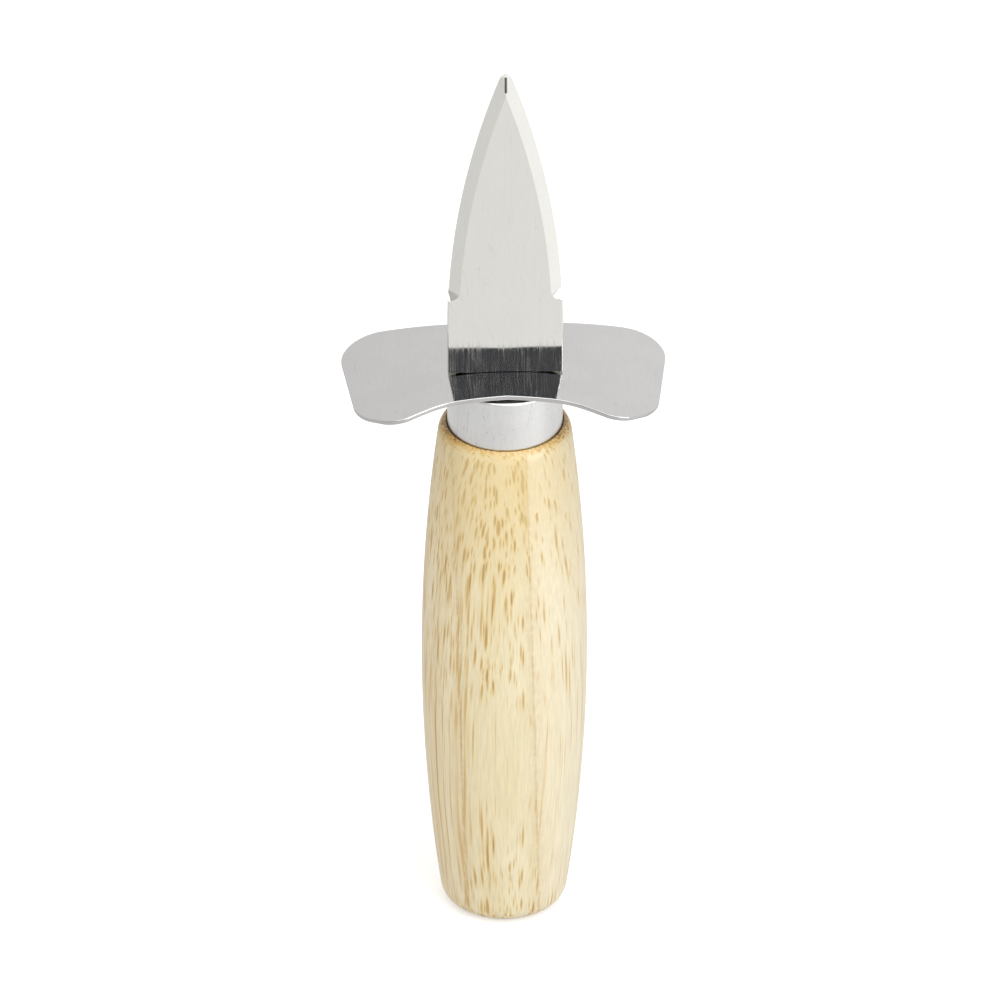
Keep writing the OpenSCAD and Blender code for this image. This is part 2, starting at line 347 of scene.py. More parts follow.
fibre_height = math_node(wood_group, "MULTIPLY", fibres, 0.25)
wood_height = math_node(wood_group, "MULTIPLY_ADD", vessels, -1.0, fibre_height)
wood_group.links.new(wood_height, wood_out["Height"])
wood_group.links.new(ramp(wood_group, vessels, 0, 1, 0.42, 0.7), wood_out["Roughness"])


rim_in_mm = (seat_r / mm, 0, rim_z / mm)


def wood_material(name, place, colours, plenty, amber, joints):
    """The wood of one strip.

    place is where its board lies and how its vessels lean. colours are its pale and its warm wood and its
    vessels. amber is how far it turns darker and more amber towards the top. joints lists the glue joints at
    its sides, each with the way into the strip (1 or -1), how dark its stain is and how dark its line is."""
    material, tree, surface, in_mm = new_material(name)
    wood = node(tree, "ShaderNodeGroup", node_tree=wood_group)
    for label, value in zip(("Board", "Lean", "Pale", "Warm", "Vessel"), place + colours):
        wood.inputs[label].default_value = value
    wood.inputs["Plenty"].default_value = plenty
    tree.links.new(in_mm, wood.inputs["Vector"])
    colour = wood.outputs["Color"]
    patch = noise(tree, in_mm, 0.9, 3.0)
    uneven = ramp(tree, patch, 0.35, 0.6, 0.4, 1)
    for point, way, stain, line_depth in joints:
        off = vector_node(tree, "SUBTRACT", in_mm, tuple(point / mm))
        inward = node(
            tree, "ShaderNodeVectorMath", {0: off, 1: tuple(joint_normal * way)}, operation="DOT_PRODUCT",
        ).outputs["Value"]
        stained = math_node(tree, "MULTIPLY", ramp(tree, inward, 0, 2.4, stain, 0), uneven)
        colour = blend_colour(tree, stained, colour, (0.58, 0.42, 0.22, 1))
        glued = math_node(tree, "MULTIPLY", ramp(tree, inward, 0.02, 0.3, line_depth, 0), uneven)
        colour = blend_colour(tree, glued, colour, (0.42, 0.24, 0.09, 1))
    # The lacquer has soaked into the open end grain round the ferrule, in a ragged golden-brown ring.
    # Towards the top the wood turns darker and more amber, and near the bottom darker and browner.
    flat = vector_node(tree, "MULTIPLY", in_mm, (1, 1, 0))
    from_axis = node(tree, "ShaderNodeVectorMath", {0: flat}, operation="LENGTH").outputs["Value"]
    height = node(tree, "ShaderNodeSeparateXYZ", {"Vector": in_mm}).outputs["Z"]
    turned_to_x = node(tree, "ShaderNodeCombineXYZ", {"X": from_axis, "Z": height}).outputs[0]
    from_rim = node(
        tree, "ShaderNodeVectorMath", {0: turned_to_x, 1: rim_in_mm}, operation="DISTANCE",
    ).outputs["Value"]
    squared = vector_node(tree, "MULTIPLY", in_mm, in_mm)
    sideways = node(tree, "ShaderNodeSeparateXYZ", {"Vector": squared}).outputs["X"]
    fleck = noise(tree, in_mm, 2.4, 3.0)
    ragged = math_node(tree, "ADD", from_rim, math_node(tree, "MULTIPLY_ADD", fleck, 4.5, -1.6))
    ragged = math_node(tree, "MULTIPLY_ADD", sideways, -0.012, ragged)
    colour = blend_colour(tree, ramp(tree, from_rim, 0.0, 42.0, amber, 0), colour, (0.68, 0.52, 0.24, 1))
    colour = blend_colour(tree, ramp(tree, ragged, 0.3, 1.7, 0.8, 0), colour, (0.66, 0.40, 0.10, 1))
    colour = blend_colour(tree, ramp(tree, ragged, -0.3, 0.4, 0.8, 0), colour, (0.24, 0.12, 0.03, 1))
    low = math_node(tree, "MULTIPLY_ADD", patch, 4.0, height)
    colour = blend_colour(tree, ramp(tree, low, 1.5, 4.5, 0.4, 0), colour, (0.5, 0.33, 0.14, 1))
    tree.links.new(colour, surface.inputs["Base Color"])
    tree.links.new(wood.outputs["Roughness"], surface.inputs["Roughness"])
    bump = node(tree, "ShaderNodeBump", {
        "Height": wood.outputs["Height"], "Strength": 0.5, "Distance": 0.06 * mm,
    })
    tree.links.new(bump.outputs[0], surface.inputs["Normal"])
    surface.inputs["Coat Weight"].default_value = 0.25
    surface.inputs["Coat Roughness"].default_value = 0.28
    return material


left_material = wood_material(
    "wood_left_strip", ((31.3, 17.1, 0), (0.045, 0.05, 0)),
    ((0.79, 0.69, 0.47, 1), (0.74, 0.62, 0.39, 1), (0.44, 0.25, 0.08, 1)),
    plenty=0.8, amber=0.5, joints=[(left_joint, -1, 0.15, 0.35)],
)
middle_material = wood_material(
    "wood_middle_strip", ((0, 0, 0), (0, 0.05, 0)),
    ((0.775, 0.692, 0.476, 1), (0.73, 0.628, 0.394, 1), (0.39, 0.215, 0.055, 1)),
    plenty=0.95, amber=0.62, joints=[(left_joint, 1, 0.3, 0.4), (right_joint, -1, 0.22, 0.26)],
)
right_material = wood_material(
    "wood_right_strip", ((57.9, 41.7, 0), (-0.045, 0.05, 0)),
    ((0.83, 0.75, 0.55, 1), (0.80, 0.70, 0.48, 1), (0.55, 0.34, 0.12, 1)),
    plenty=0.2, amber=0.42, joints=[(right_joint, 1, 0.25, 0.3)],
)
for piece, strip, material in (
    (handle_left, "handle_left", left_material),
    (handle_middle, "handle_middle", middle_material),
    (handle_right, "handle_right", right_material),
):
    shade(piece, degrees=30)
    settle(piece, strip, material)

# The glue that holds the tang. It is poured into the bore as a clear amber resin and hardens round
# the tang and in its notches. Nothing of it shows on the whole knife, so the CAD solid stays.
glue_material, glue_tree, glue_surface, glue_mm = new_material("hardened_resin")
bubbles = node(glue_tree, "ShaderNodeTexVoronoi", {"Vector": glue_mm, "Scale": 1.4}).outputs["Distance"]
cloud = noise(glue_tree, glue_mm, 0.4, 3.0)
glue_tone = ramp(glue_tree, cloud, 0.35, 0.65)
glue_colour = blend_colour(glue_tree, glue_tone, (0.62, 0.45, 0.15, 1), (0.72, 0.58, 0.28, 1))
glue_tree.links.new(glue_colour, glue_surface.inputs["Base Color"])
glue_tree.links.new(ramp(glue_tree, cloud, 0.3, 0.7, 0.15, 0.3), glue_surface.inputs["Roughness"])
glue_bump = node(glue_tree, "ShaderNodeBump", {"Height": bubbles, "Strength": 0.3, "Distance": 0.1 * mm})
glue_tree.links.new(glue_bump.outputs[0], glue_surface.inputs["Normal"])
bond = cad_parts["tang_bond"]
bond.data.materials.clear()
bond.data.materials.append(glue_material)

# The ferrule. It is a cup drawn from soft aluminium sheet with a satin finish, pressed over the
# tenon with its rim in the turned seat. Its end is slotted for the tang and bears the guard.
ferrule_r = ferrule_high.x
ferrule_wall = 0.6 * mm
ferrule_round = 0.4 * mm
outer_steps = 8
inner_round = 0.3 * mm
inner_steps = 4
inner_r = ferrule_r - ferrule_wall
pin_r = 0.2 * mm
ferrule_rings = [(pin_r, ferrule_high.z)]
for i in range(outer_steps + 1):
    angle = math.pi / 2 * (1 - i / outer_steps)
    ferrule_rings.append((
        ferrule_r - ferrule_round + ferrule_round * math.cos(angle),
        ferrule_high.z - ferrule_round + ferrule_round * math.sin(angle),
    ))
lip = 0.12 * mm
ferrule_rings += [
    (ferrule_r, ferrule_low.z + lip),
    (ferrule_r - lip, ferrule_low.z),
    (inner_r + lip, ferrule_low.z),
    (inner_r, ferrule_low.z + lip),
]
for i in range(inner_steps + 1):
    angle = math.pi / 2 * i / inner_steps
    ferrule_rings.append((
        inner_r - inner_round + inner_round * math.cos(angle),
        ferrule_high.z - ferrule_wall - inner_round + inner_round * math.sin(angle),
    ))
ferrule_rings.append((pin_r, ferrule_high.z - ferrule_wall))
ferrule = turn("ferrule_cup", ferrule_rings, sides=256)

tang_half_w = 4 * mm
slot_gap = 0.15 * mm
punch_reach = 8 * mm
blade_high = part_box("blade")[1]
slot_half = Vector((tang_half_w + slot_gap, blade_high.y + slot_gap, punch_reach))


def box_between(name, low, high):
    """A block between two corners."""
    bpy.ops.object.select_all(action="DESELECT")
    bpy.ops.mesh.primitive_cube_add(size=1, location=(Vector(low) + Vector(high)) / 2)
    block = bpy.context.object
    block.name = name
    block.scale = Vector(high) - Vector(low)
    bpy.ops.object.transform_apply(location=True, rotation=True, scale=True)
    return block


def combine(piece, tool, operation, keep_tool=False):
    """Cuts, joins or intersects piece with tool, which is then thrown away."""
    pick(piece)
    cut = piece.modifiers.new("cut", "BOOLEAN")
    cut.operation = operation
    cut.solver = "EXACT"
    cut.object = tool
    bpy.ops.object.modifier_apply(modifier=cut.name)
    if not keep_tool:
        bpy.data.objects.remove(tool)


slot_punch = box_between(
    "slot_punch",
    (-slot_half.x, -slot_half.y, ferrule_high.z - slot_half.z),
    (slot_half.x, slot_half.y, ferrule_high.z + slot_half.z),
)
combine(ferrule, slot_punch, "DIFFERENCE", keep_tool=True)
shade(ferrule, degrees=35)

brushed_group, brushed_in, brushed_out = new_group(
    "brushed_lines",
    {"Vector": ("NodeSocketVector", (0, 0, 0)), "Finest": ("NodeSocketFloat", 8.0)},
    {"Height": "NodeSocketFloat", "Streaks": "NodeSocketFloat", "Drawn": "NodeSocketFloat"},
)
# The longest lines, far longer than the others, are a little rougher than the metal between them.
drawn_place = vector_node(brushed_group, "MULTIPLY", brushed_in["Vector"], (1, 0.2, 0.2))
drawn_lines = noise(brushed_group, drawn_place, 1.5, 2.0)
brushed_group.links.new(ramp(brushed_group, drawn_lines, 0.45, 0.75), brushed_out["Drawn"])
fine_lines = node(brushed_group, "ShaderNodeTexNoise", {
    "Vector": brushed_in["Vector"], "Scale": brushed_in["Finest"], "Detail": 5.0, "Roughness": 0.65,
}).outputs[0]
broad_lines = noise(brushed_group, brushed_in["Vector"], 1.1, 3.0)
brushed_group.links.new(fine_lines, brushed_out["Height"])
brushed_group.links.new(ramp(brushed_group, broad_lines, 0.3, 0.7), brushed_out["Streaks"])

scratch_group, scratch_in, scratch_out = new_group(
    "hairline_scratches",
    {"Vector": ("NodeSocketVector", (0, 0, 0)), "Amount": ("NodeSocketFloat", 0.4)},
    {"Scratches": "NodeSocketFloat"},
)
# Each layer is the thin level line of a noise that is drawn out along Z. A second noise breaks it up.
scratch_layers = []
for lean, spin, shift in ((0.06, 0.0, 3.7), (-0.22, 1.1, 19.1), (0.6, 2.3, 41.3)):
    turned = node(scratch_group, "ShaderNodeMapping", {
        "Vector": scratch_in["Vector"], "Rotation": (lean, lean, spin),
        "Location": (shift, shift, shift), "Scale": (1.1, 1.1, 14),
    }, vector_type="TEXTURE").outputs[0]
    level = noise(scratch_group, turned, 1.0, 1.0)
    off_level = math_node(scratch_group, "ABSOLUTE", math_node(scratch_group, "SUBTRACT", level, 0.5))
    thin = ramp(scratch_group, off_level, 0.002, 0.009, 1, 0)
    broken = noise(scratch_group, vector_node(scratch_group, "MULTIPLY", turned, (1, 1, 4)), 0.8, 0.0)
    enough = math_node(scratch_group, "ADD", broken, scratch_in["Amount"])
    kept = math_node(scratch_group, "SUBTRACT", enough, 1.0)
    scratch_layers.append(math_node(scratch_group, "MULTIPLY", thin, ramp(scratch_group, kept, -0.02, 0.08)))
scratch_group.links.new(largest(scratch_group, scratch_layers), scratch_out["Scratches"])


def metal_material(
    name, bright, dull, stretch, finest, roughness, drawn, grip, scratches, dirt, way=(0, 0, 0),
):
    """Metal with fine lines along one direction, soft blotches and a few hairline scratches.

    stretch scales the pattern: the smallest number is the direction of the lines. finest is how close the
    thinnest ones lie, grip is how deep they are, and drawn is how much rougher the longest are. scratches
    is how many there are, dirt is how dark they are, and way turns them from their run along Z."""
    material, tree, surface, in_mm = new_material(name)
    stretched = node(tree, "ShaderNodeMapping", {"Vector": in_mm, "Scale": stretch}).outputs[0]
    brushed = node(tree, "ShaderNodeGroup", node_tree=brushed_group)
    tree.links.new(stretched, brushed.inputs["Vector"])
    brushed.inputs["Finest"].default_value = finest
    marked = node(tree, "ShaderNodeGroup", node_tree=scratch_group)
    turned_mm = node(tree, "ShaderNodeMapping", {"Vector": in_mm, "Rotation": way}).outputs[0]
    tree.links.new(turned_mm, marked.inputs["Vector"])
    marked.inputs["Amount"].default_value = scratches
    clouds = noise(tree, in_mm, 0.15, 3.0)
    spread = math_node(tree, "MULTIPLY", brushed.outputs["Streaks"], 0.4)
    spread = math_node(tree, "MULTIPLY_ADD", ramp(tree, clouds, 0.3, 0.7), 0.6, spread)
    colour = blend_colour(tree, spread, dull, bright)
    dirty = math_node(tree, "MULTIPLY", marked.outputs[0], dirt)
    colour = blend_colour(tree, dirty, colour, (0.3, 0.3, 0.3, 1))
    tree.links.new(colour, surface.inputs["Base Color"])
    rough = ramp(tree, spread, 0, 1, roughness * 1.15, roughness * 0.9)
    rough = math_node(tree, "MULTIPLY_ADD", brushed.outputs["Drawn"], drawn, rough)
    rough = math_node(tree, "MULTIPLY_ADD", marked.outputs[0], 0.08, rough)
    tree.links.new(rough, surface.inputs["Roughness"])
    depth = math_node(tree, "MULTIPLY_ADD", marked.outputs[0], -0.3, brushed.outputs["Height"])
    bump = node(tree, "ShaderNodeBump", {"Height": depth, "Strength": grip, "Distance": 0.01 * mm})
    tree.links.new(bump.outputs[0], surface.inputs["Normal"])
    surface.inputs["Metallic"].default_value = 1.0
    return material


ferrule_material = metal_material(
    "satin_aluminium", (0.90, 0.895, 0.875, 1), (0.84, 0.835, 0.82, 1),
    stretch=(1.5, 1.5, 0.25), finest=3.0, roughness=0.3, drawn=0.05, grip=0.7, scratches=0.47, dirt=0.22,
)
settle(ferrule, "ferrule", ferrule_material)

# The guard. It is blanked from polished stainless sheet, with a straighter back edge, two round
# front lobes and a waist between them, then bent over a former and slotted for the tang. It lies on
# the end of the ferrule, held there by the shoulders of the blade.
guard_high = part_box("guard")[1]
guard_t = 0.8 * mm
bend_r = 100 * mm
bend_z = guard_high.z - bend_r
corners = [
    ("back middle", 0, 13.6, 0),
    ("back corner", 28.3, 15.5, 6.9),
    ("end corner", 25.5, -9.4, 6.8),
    ("lobe", 19, -14, 4.4),
    ("waist corner", 10.55, -9.95, 15),
    ("waist middle", 0, -8.95, 0),
]


def corner_reach(before, corner, after, radius):
    """How far the arc of that radius reaches along both edges from the corner."""
    u = (Vector(before) - Vector(corner)).normalized()
    v = (Vector(after) - Vector(corner)).normalized()
    return radius / math.tan(u.angle(v) / 2)


def flat_blank(name, points):
    """One flat face in the XY plane: a filled circle whose corners are moved to the points of an outline."""
    bpy.ops.object.select_all(action="DESELECT")
    bpy.ops.mesh.primitive_circle_add(vertices=len(points), radius=mm, fill_type="NGON", location=(0, 0, 0))
    sheet = bpy.context.object
    sheet.name = name
    sheet.data.name = name
    for vertex, (x, y) in zip(sheet.data.vertices, points):
        vertex.co = (x, y, 0)
    return sheet


outline = [(x * mm, y * mm, radius * mm) for _, x, y, radius in corners]
full = outline + [(-x, y, radius) for x, y, radius in outline[-2:0:-1]]
corner_segments = 14
bend_lines = 27
near = 0.01 * mm
guard = flat_blank("guard_bent_sheet", [(x, y) for x, y, _ in full])
bpy.ops.object.mode_set(mode="EDIT")
bpy.ops.mesh.select_mode(type="VERT")
for i, (x, y, radius) in enumerate(full):
    if radius == 0:
        continue
    reach = corner_reach(full[i - 1][:2], full[i][:2], full[(i + 1) % len(full)][:2], radius)
    bpy.ops.mesh.select_all(action="DESELECT")
    bpy.ops.object.mode_set(mode="OBJECT")
    for vertex in guard.data.vertices:
        vertex.select = (vertex.co.xy - Vector((x, y))).length < near
    bpy.ops.object.mode_set(mode="EDIT")
    bpy.ops.mesh.bevel(
        offset=reach, offset_type="OFFSET", segments=corner_segments, affect="VERTICES", clamp_overlap=False,
    )
for i in range(-bend_lines, bend_lines + 1):
    bpy.ops.mesh.select_all(action="SELECT")
    bpy.ops.mesh.bisect(plane_co=(i * mm, 0, 0), plane_no=(1, 0, 0))
bpy.ops.object.mode_set(mode="OBJECT")
for vertex in guard.data.vertices:
    vertex.co.z = bend_z + math.sqrt(bend_r ** 2 - vertex.co.x ** 2)
bpy.ops.object.mode_set(mode="EDIT")
bpy.ops.mesh.select_all(action="SELECT")
bpy.ops.mesh.normals_make_consistent(inside=False)
bpy.ops.object.mode_set(mode="OBJECT")
if guard.data.polygons[0].normal.z < 0:
    guard.data.flip_normals()
thick = guard.modifiers.new("sheet", "SOLIDIFY")
thick.thickness = guard_t
thick.offset = -1
bpy.ops.object.modifier_apply(modifier=thick.name)
soften = guard.modifiers.new("deburred", "BEVEL")
soften.width = 0.18 * mm
soften.segments = 3
soften.limit_method = "ANGLE"
soften.angle_limit = math.radians(50)
bpy.ops.object.modifier_apply(modifier=soften.name)
combine(guard, slot_punch, "DIFFERENCE")


def shade_by_area(piece, degrees):
    """Smooth shading in which the broad faces keep their own normals and the narrow ones bend."""
    shade(piece, degrees)
    weighted = piece.modifiers.new("weighted", "WEIGHTED_NORMAL")
    weighted.keep_sharp = True
    weighted.weight = 100
    bpy.ops.object.modifier_apply(modifier=weighted.name)


shade_by_area(guard, degrees=40)
guard_material = metal_material(
    "polished_sheet", (0.62, 0.61, 0.605, 1), (0.59, 0.58, 0.575, 1),
    stretch=(3.5, 0.35, 1), finest=4.0, roughness=0.07, drawn=0.13, grip=0.12, scratches=0.42, dirt=0.12,
    way=(math.pi / 2, 0, 0),
)
settle(guard, "guard", guard_material)

# The blade. It is cut from 3 mm stainless plate with its tang in one piece. Both edges are ground on
# both faces to a narrow bevel that stops in a round run-out above the shoulders, and the point is
# left blunt, because the knife prises and doesn't cut.
blade_half_w = blade_high.x
blade_half_t = blade_high.y
tip_z = blade_high.z
blade_len = 58.5 * mm
blade_z = tip_z - blade_len
edge_r = 145 * mm
tip_round = 1.2 * mm
bevel_w = 1.85 * mm
edge_land = 0.4 * mm
grind_inset = 0.05 * mm
plunge_z = blade_z + 16.2 * mm
edge_x = edge_r - blade_half_w
edge_z = tip_z - tip_round - math.sqrt((edge_r - tip_round) ** 2 - edge_x ** 2)
ground_r = edge_r - grind_inset
bevel_slope = bevel_w / (blade_half_t - edge_land / 2)
bevel_x = math.sqrt((ground_r - bevel_w) ** 2 - (plunge_z - edge_z) ** 2) - edge_x
plunge_r = blade_half_w - bevel_x
run_out_flat = 0.86


def half_width(height):
    """Half of the blade's width at a height: parallel sides, then the curved edge, then the blunt point."""
    if height <= edge_z:
        return blade_half_w
    tangent_z = edge_z + (tip_z - tip_round - edge_z) * edge_r / (edge_r - tip_round)
    if height < tangent_z:
        return math.sqrt(edge_r ** 2 - (height - edge_z) ** 2) - edge_x
    return math.sqrt(max(tip_round ** 2 - (height - tip_z + tip_round) ** 2, 0))


tang_len = 52 * mm
tang_taper = 12 * mm
tang_end_half = 2.5 * mm
notch_r = 0.9 * mm
notch_count = 3
notch_pitch = 8 * mm
taper_z = blade_z - tang_len + tang_taper
blade_steps = 90
point_angles = [7.5 * i for i in range(1, 13)]
heights = [tip_z - tip_round + tip_round * math.cos(math.radians(angle)) for angle in point_angles]
heights += [edge_z + (tip_z - tip_round - edge_z) * (1 - i / blade_steps) for i in range(1, blade_steps + 1)]
right_edge = [(half_width(height), height) for height in heights] + [
    (blade_half_w, blade_z), (tang_half_w, blade_z),
    (tang_half_w, taper_z), (tang_end_half, blade_z - tang_len),
]
left_edge = [(-x, z) for x, z in reversed(right_edge)]
blade = flat_blank("blade_ground", [(0, tip_z)] + right_edge + left_edge)
plate = blade.modifiers.new("plate", "SOLIDIFY")
plate.thickness = 2 * blade_half_t
plate.offset = 0
bpy.ops.object.modifier_apply(modifier=plate.name)
bpy.ops.object.mode_set(mode="EDIT")
bpy.ops.mesh.select_mode(type="EDGE")
bpy.ops.mesh.select_all(action="DESELECT")
bpy.ops.object.mode_set(mode="OBJECT")
for edge in blade.data.edges:
    one, other = (blade.data.vertices[i].co for i in edge.vertices)
    on_one_face = one.z * other.z > 0
    edge.select = on_one_face and (one.y + other.y) / 2 > blade_z + near
bpy.ops.object.mode_set(mode="EDIT")
bpy.ops.mesh.bevel(offset=0.22 * mm, segments=4, affect="EDGES")
bpy.ops.object.mode_set(mode="OBJECT")
blade.data.transform(Matrix.Rotation(math.pi / 2, 4, "X"))
bpy.ops.object.mode_set(mode="EDIT")
bpy.ops.mesh.select_all(action="SELECT")
bpy.ops.mesh.normals_make_consistent(inside=False)
bpy.ops.object.mode_set(mode="OBJECT")


def ground_wheel(side):
    """What the grinder leaves on one side: a disc round the centre of the edge's arc, with two bevels."""
    over = 1 * mm
    half = blade_half_t + over
    outer = ground_r - (half - edge_land / 2) * bevel_slope
    rings = [(outer, -half), (ground_r, -edge_land / 2), (ground_r, edge_land / 2), (outer, half)]
    wheel = turn("wheel", rings, sides=1440)
    upright = Matrix.Rotation(math.pi / 2, 4, "X")
    wheel.data.transform(Matrix.Translation((-side * edge_x, 0, edge_z)) @ upright)
    return wheel


ground = ground_wheel(-1)
combine(ground, ground_wheel(1), "INTERSECT")
reach_y = 2 * blade_half_t
stock_half_w = 2 * blade_half_w
stock_half_t = 0.8 * reach_y
stock = box_between(
    "stock",
    (-stock_half_w, -stock_half_t, blade_z - tang_len - mm),
    (stock_half_w, stock_half_t, plunge_z),
)
waist_r = plunge_r * 0.08
for side in (-1, 1):
    run_out = turn("run_out", [
        (plunge_r * 2, -reach_y), (plunge_r, -blade_half_t), (waist_r, -near),
        (waist_r, near), (plunge_r, blade_half_t), (plunge_r * 2, reach_y),
    ], sides=144)
    lay = Matrix.Diagonal((1, 1, run_out_flat, 1)) @ Matrix.Rotation(math.pi / 2, 4, "X")
    run_out.data.transform(Matrix.Translation((side * blade_half_w, 0, plunge_z)) @ lay)
    combine(stock, run_out, "DIFFERENCE")
combine(ground, stock, "UNION")
combine(blade, ground, "INTERSECT")
for i in range(notch_count):
    for side in (-1, 1):
        bpy.ops.object.select_all(action="DESELECT")
        bpy.ops.mesh.primitive_cylinder_add(
            vertices=48, radius=notch_r, depth=4 * blade_half_t, rotation=(math.pi / 2, 0, 0),
            location=(side * tang_half_w, 0, taper_z + (i + 0.5) * notch_pitch),
        )
        combine(blade, bpy.context.object, "DIFFERENCE")

# The ridge where the two bevels meet, from the point of the flat to the blunt tip, is dressed to a
# narrow flat of its own on both faces.
ridge_z = edge_z + math.sqrt((ground_r - bevel_w) ** 2 - edge_x ** 2)
ridge_rise = edge_z + math.sqrt((ground_r - bevel_w / 2) ** 2 - edge_x ** 2) - ridge_z
ridge_lean = math.atan(bevel_w / 2 / bevel_slope / ridge_rise)
ridge_depth = 0.14 * mm
ridge_from = 0.65 * mm
ridge_to = 8 * mm
dresser_half_w = 2 * mm
dresser_h = 4 * mm
for face in (-1, 1):
    dresser = box_between(
        "dresser",
        (-dresser_half_w, ridge_depth - dresser_h, ridge_from),
        (dresser_half_w, ridge_depth, ridge_to),
    )
    turned_over = Matrix.Rotation(math.pi if face == 1 else 0, 4, "Z")
    lean_back = Matrix.Rotation(-ridge_lean, 4, "X")
    dresser.data.transform(turned_over @ Matrix.Translation((0, -blade_half_t, ridge_z)) @ lean_back)
    combine(blade, dresser, "DIFFERENCE")
shade_by_area(blade, degrees=12)
blade_material = metal_material(
    "ground_blade_steel", (0.905, 0.895, 0.845, 1), (0.885, 0.875, 0.825, 1),
    stretch=(3.5, 1, 0.35), finest=4.0, roughness=0.07, drawn=0.13, grip=0.12, scratches=0.42, dirt=0.1,
)
settle(blade, "blade", blade_material)

# The floor and the white all round. The floor is matt white card, lit by the lamps, so it keeps the
# knife's shadow. The camera, glossy and transmitted rays see it and the background as white, and in
# the steel it is graded from a paler right side to a greyer left.
camera_glow = 0.42


def seen_as_white(tree):
    """1 for camera, glossy and transmitted rays, and 0 for the rays that only light things."""
    path = node(tree, "ShaderNodeLightPath").outputs
    total = math_node(tree, "MAXIMUM", path["Is Camera Ray"], path["Is Glossy Ray"])
    return math_node(tree, "MAXIMUM", total, path["Is Transmission Ray"])


bpy.ops.object.select_all(action="DESELECT")
bpy.ops.mesh.primitive_plane_add(size=12, location=(0, 0, 0))
floor = bpy.context.object
floor.name = "floor"
floor_material = bpy.data.materials.new("white_card")
floor_material.use_nodes = True
floor_tree = floor_material.node_tree
floor_tree.nodes.clear()
matt = node(floor_tree, "ShaderNodeBsdfDiffuse", {"Color": (0.8, 0.8, 0.8, 1)})
floor_path = node(floor_tree, "ShaderNodeLightPath").outputs
glow_strength = math_node(floor_tree, "MULTIPLY", floor_path["Is Camera Ray"], camera_glow)
glow = node(floor_tree, "ShaderNodeEmission", {"Color": (1, 1, 1, 1), "Strength": glow_strength})
both = node(floor_tree, "ShaderNodeAddShader", {0: matt.outputs[0], 1: glow.outputs[0]})
floor_place = node(floor_tree, "ShaderNodeTexCoord").outputs["Object"]
sides = node(floor_tree, "ShaderNodeSeparateXYZ", {"Vector": floor_place}).outputs
left_grade = node(floor_tree, "ShaderNodeMapRange", {
    "Value": sides["X"], "From Min": -0.2, "From Max": 0.0, "To Min": 0.695, "To Max": 0.79,
}).outputs[0]
right_grade = node(floor_tree, "ShaderNodeMapRange", {
    "Value": sides["X"], "From Min": 0.0, "From Max": 0.17, "To Min": 0.0, "To Max": 0.21,
}).outputs[0]
behind = ramp(floor_tree, sides["Y"], -0.08, 0.04, 0, 1)
kept_bright = math_node(floor_tree, "MULTIPLY", right_grade, ramp(floor_tree, behind, 0, 1, 1, 0.25))
graded = math_node(floor_tree, "ADD", left_grade, kept_bright)
graded = math_node(floor_tree, "MULTIPLY", graded, ramp(floor_tree, behind, 0, 1, 1, 0.95))
# In the steel the floor turns dark from about a metre in front, a painted dark reflection. The dressed ridge
# at the tip mirrors it.
graded = math_node(floor_tree, "MULTIPLY", graded, ramp(floor_tree, sides["Y"], -1.3, -0.9, 0.1, 1))
mirrored = node(floor_tree, "ShaderNodeEmission", {"Color": (1, 1, 1, 1), "Strength": graded})
shiny = math_node(floor_tree, "MAXIMUM", floor_path["Is Glossy Ray"], floor_path["Is Transmission Ray"])
floor_shader = node(floor_tree, "ShaderNodeMixShader", {
    0: shiny, 1: both.outputs[0], 2: mirrored.outputs[0],
})
node(floor_tree, "ShaderNodeOutputMaterial", {"Surface": floor_shader.outputs[0]})
floor.data.materials.append(floor_material)

world = bpy.data.worlds.new("white_studio")
world.use_nodes = True
world_tree = world.node_tree
world_tree.nodes.clear()
ambient = 0.55
direction = node(world_tree, "ShaderNodeTexCoord").outputs["Generated"]
to_the_right = node(world_tree, "ShaderNodeSeparateXYZ", {"Vector": direction}).outputs["X"]
in_steel = math_node(world_tree, "MULTIPLY_ADD", to_the_right, 0.2, 0.95)
in_steel = math_node(world_tree, "MINIMUM", in_steel, 1.0)
glossy = node(world_tree, "ShaderNodeLightPath").outputs["Is Glossy Ray"]
white = math_node(world_tree, "MULTIPLY_ADD", math_node(world_tree, "SUBTRACT", in_steel, 1.0), glossy, 1.0)
lifted = math_node(world_tree, "SUBTRACT", white, ambient)
level = math_node(world_tree, "MULTIPLY_ADD", seen_as_white(world_tree), lifted, ambient)
background = node(world_tree, "ShaderNodeBackground", {"Color": (1, 1, 1, 1), "Strength": level})
node(world_tree, "ShaderNodeOutputWorld", {"Surface": background.outputs[0]})
bpy.context.scene.world = world

# The camera stands well back with a long lens, about 33 degrees above level and a little to the left
# of the knife, as in the photograph.
camera_distance = 7.6
camera_height_angle = math.radians(33.4)
camera_side_angle = math.radians(2.1)
camera_roll = math.radians(0.13)
aim = Vector((-0.8 * mm, 0, 79.66 * mm))
frame_width = 168.9 * mm
sensor_mm = 36
away = Vector((
    -math.sin(camera_side_angle) * math.cos(camera_height_angle),
    -math.cos(camera_side_angle) * math.cos(camera_height_angle),
    math.sin(camera_height_angle),
))
camera_data = bpy.data.cameras.new("camera")
camera_data.sensor_width = sensor_mm
camera_data.lens = sensor_mm * camera_distance / frame_width
camera = bpy.data.objects.new("camera", camera_data)
bpy.context.scene.collection.objects.link(camera)
camera.location = aim + away * camera_distance
straight = (-away).to_track_quat("-Z", "Y").to_matrix().to_4x4()
camera.rotation_euler = (straight @ Matrix.Rotation(camera_roll, 4, "Z")).to_euler()
bpy.context.scene.camera = camera

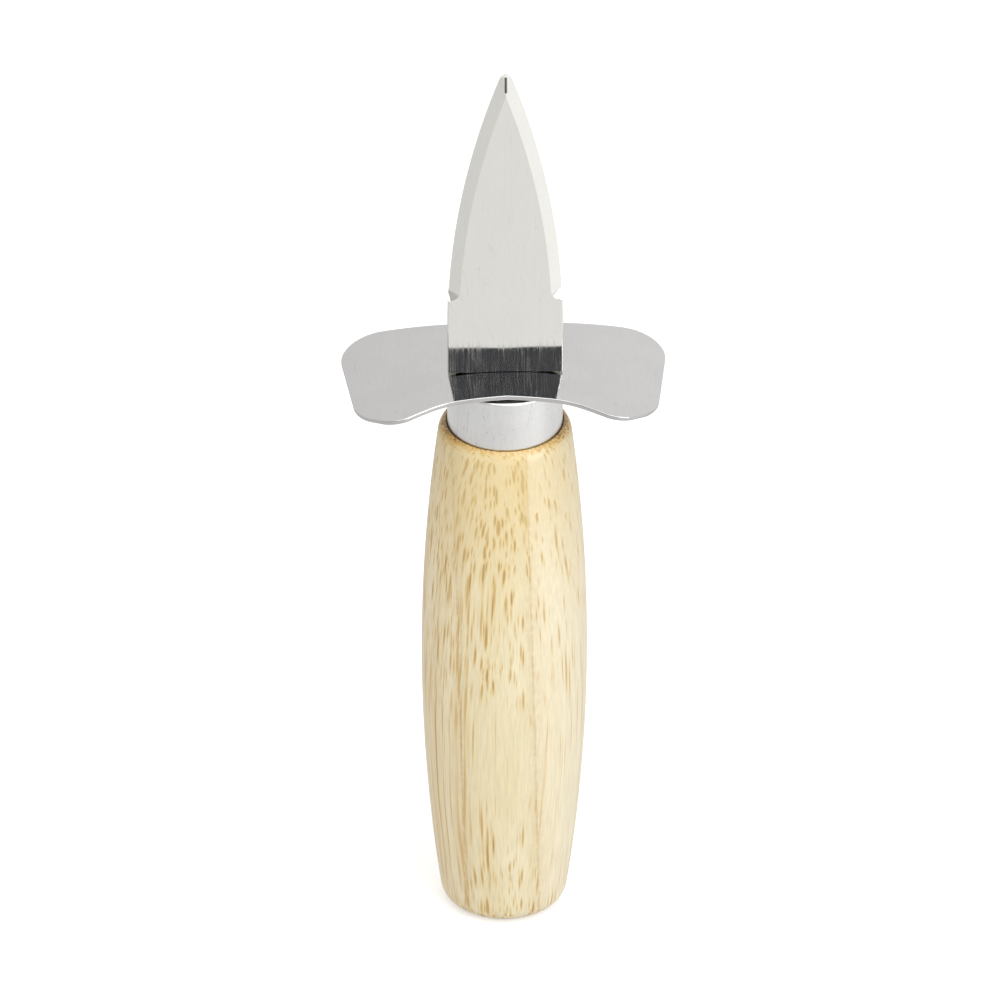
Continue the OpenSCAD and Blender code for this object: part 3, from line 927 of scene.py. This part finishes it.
# Grey cards that only the steel mirrors. One is round the lens: steel that faces steel at a right angle
# sends it back to the camera, as the foot of the blade and the guard before it do. The other stands at
# the left, for the run-out.
facing_left = Vector((-0.69, -0.58, 0.5))
card_distance = 3.0
for card_name, facing, wide, high, grey in (
    ("lens_card", away, 1.7, 1.3, (0.072, 0.076, 0.087, 1)),
    ("side_card", facing_left, 2.6, 2.8, (0.5, 0.49, 0.46, 1)),
):
    card_material = bpy.data.materials.new(card_name)
    card_material.use_nodes = True
    card_tree = card_material.node_tree
    card_tree.nodes.clear()
    card_glow = node(card_tree, "ShaderNodeEmission", {"Color": grey, "Strength": 1.0})
    node(card_tree, "ShaderNodeOutputMaterial", {"Surface": card_glow.outputs[0]})
    bpy.ops.object.select_all(action="DESELECT")
    bpy.ops.mesh.primitive_plane_add(size=1, location=aim + facing * card_distance)
    card = bpy.context.object
    card.name = card_name
    card.scale = (wide, high, 1)
    card.rotation_euler = facing.to_track_quat("Z", "Y").to_euler()
    card.visible_camera = False
    card.visible_diffuse = False
    card.visible_shadow = False
    card.visible_transmission = False
    card.data.materials.append(card_material)

# Four soft lamps: the strongest to the right and in front, a broad one overhead that draws the bright
# line along the edges of the guard, and two weak ones, at the left and behind, that only fill and
# aren't mirrored.
lit_point = Vector((0, 0, 0.08))
for lamp_name, place, size, power in (
    ("key_softbox", (1.0, -1.1, 0.75), 0.9, 11),
    ("overhead_softbox", (0.15, -0.45, 1.35), 1.2, 7),
    ("fill_softbox", (-1.0, -0.9, 0.6), 1.0, 5),
    ("back_fill_softbox", (0.35, 1.4, 0.9), 1.0, 3.5),
):
    lamp_data = bpy.data.lights.new(lamp_name, "AREA")
    lamp_data.shape = "SQUARE"
    lamp_data.size = size
    lamp_data.energy = power
    lamp = bpy.data.objects.new(lamp_name, lamp_data)
    lamp.visible_glossy = "fill" not in lamp_name
    lamp.location = place
    lamp.rotation_euler = (lit_point - Vector(place)).to_track_quat("-Z", "Y").to_euler()
    bpy.context.scene.collection.objects.link(lamp)

bpy.context.scene.view_settings.view_transform = "Standard"
